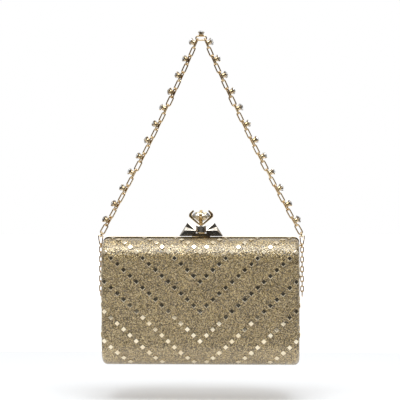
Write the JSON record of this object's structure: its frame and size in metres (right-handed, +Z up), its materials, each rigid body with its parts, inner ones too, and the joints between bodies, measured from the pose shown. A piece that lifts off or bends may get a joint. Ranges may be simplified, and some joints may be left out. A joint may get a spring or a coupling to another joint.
{
  "type": "evening bag",
  "caption": "Hard box clutch covered in gold glitter with studs in chevrons, a framed lid, a bow-and-crystal clasp and a jewelled chain handle.",
  "frame": {"origin": "the underside of the chain's crown link, where the bag hangs from a hook or hand", "axes": "+Z up along the hanging bag, X along the bag's width, the front with the clasp faces -Y"},
  "size_m": [0.1954, 0.0562, 0.3137],
  "materials": {
    "gold_frame": "polished pale gold plate",
    "gold_chain": "polished pale gold plate",
    "gold_stud": "mirror gold plate",
    "nickel": "polished facets",
    "crystal": "cut and polished",
    "glitter": "fine glitter on a leather-backed cloth",
    "board": "moulded, hidden",
    "satin": "satin",
    "steel": "plain"
  },
  "bodies": {
    "crown": {"crown_link": "gold_chain", "crown_setting": "gold_chain", "crown_stone": "crystal"},
    "upper_chain": {"left_upper_links": "gold_chain", "left_upper_settings": "gold_chain", "left_upper_stones": "crystal", "right_upper_links": "gold_chain", "right_upper_settings": "gold_chain", "right_upper_stones": "crystal"},
    "middle_chain": {"left_middle_links": "gold_chain", "left_middle_settings": "gold_chain", "left_middle_stones": "crystal", "right_middle_links": "gold_chain", "right_middle_settings": "gold_chain", "right_middle_stones": "crystal"},
    "lower_chain": {"left_lower_links": "gold_chain", "left_lower_settings": "gold_chain", "left_lower_stones": "crystal", "right_lower_links": "gold_chain", "right_lower_settings": "gold_chain", "right_lower_stones": "crystal", "left_jump_ring": "gold_chain", "right_jump_ring": "gold_chain", "left_bail": "gold_chain", "right_bail": "gold_chain"},
    "back_half": {"back_frame": "gold_frame", "hinge_pin": "steel", "back_shell": "board", "back_cover": "glitter", "back_lining": "satin", "slip_pocket": "satin", "back_studs": "gold_stud", "left_eye": "gold_frame", "right_eye": "gold_frame", "striker": "gold_frame", "catch_magnet": "steel"},
    "front_half": {"front_frame": "gold_frame", "front_shell": "board", "front_cover": "glitter", "front_lining": "satin", "front_studs": "gold_stud", "latch_plate": "gold_frame", "latch_pin": "steel", "latch_spring": "steel"},
    "clasp_lever": {"thumb_lever": "gold_frame", "bow_left_wing": "nickel", "bow_right_wing": "nickel", "bow_knot": "nickel", "stone_setting": "gold_chain", "centre_stone": "crystal"},
    "left_tail": {"left_tail": "gold_chain"},
    "right_tail": {"right_tail": "gold_chain"}
  },
  "joints": [
    {"name": "upper_chain_swing", "type": "hinge", "parent": "crown", "child": "upper_chain", "pos_m": [0, 0, 0.00081], "axis": [1, 0, 0], "range_deg": [-40, 40]},
    {"name": "middle_chain_swing", "type": "hinge", "parent": "upper_chain", "child": "middle_chain", "pos_m": [0, 0, -0.06119], "axis": [1, 0, 0], "range_deg": [-40, 40]},
    {"name": "lower_chain_swing", "type": "hinge", "parent": "middle_chain", "child": "lower_chain", "pos_m": [0, 0, -0.12212], "axis": [1, 0, 0], "range_deg": [-40, 40]},
    {"name": "bag_swing", "type": "hinge", "parent": "lower_chain", "child": "back_half", "pos_m": [0, 0, -0.1922], "axis": [1, 0, 0], "range_deg": [-60, 60]},
    {"name": "bag_opening", "type": "hinge", "parent": "back_half", "child": "front_half", "pos_m": [0, 0, -0.30255], "axis": [1, 0, 0], "range_deg": [0, 75]},
    {"name": "clasp_press", "type": "hinge", "parent": "front_half", "child": "clasp_lever", "pos_m": [0, -0.0022, -0.18245], "axis": [1, 0, 0], "range_deg": [0, 20], "stiffness_Nm_per_rad": 0.02, "springref_deg": -20.05},
    {"name": "left_tail_swing", "type": "hinge", "parent": "back_half", "child": "left_tail", "pos_m": [-0.09505, 0, -0.19395], "axis": [1, 0, 0], "range_deg": [-60, 60]},
    {"name": "right_tail_swing", "type": "hinge", "parent": "back_half", "child": "right_tail", "pos_m": [0.09505, 0, -0.19395], "axis": [1, 0, 0], "range_deg": [-60, 60]}
  ]
}
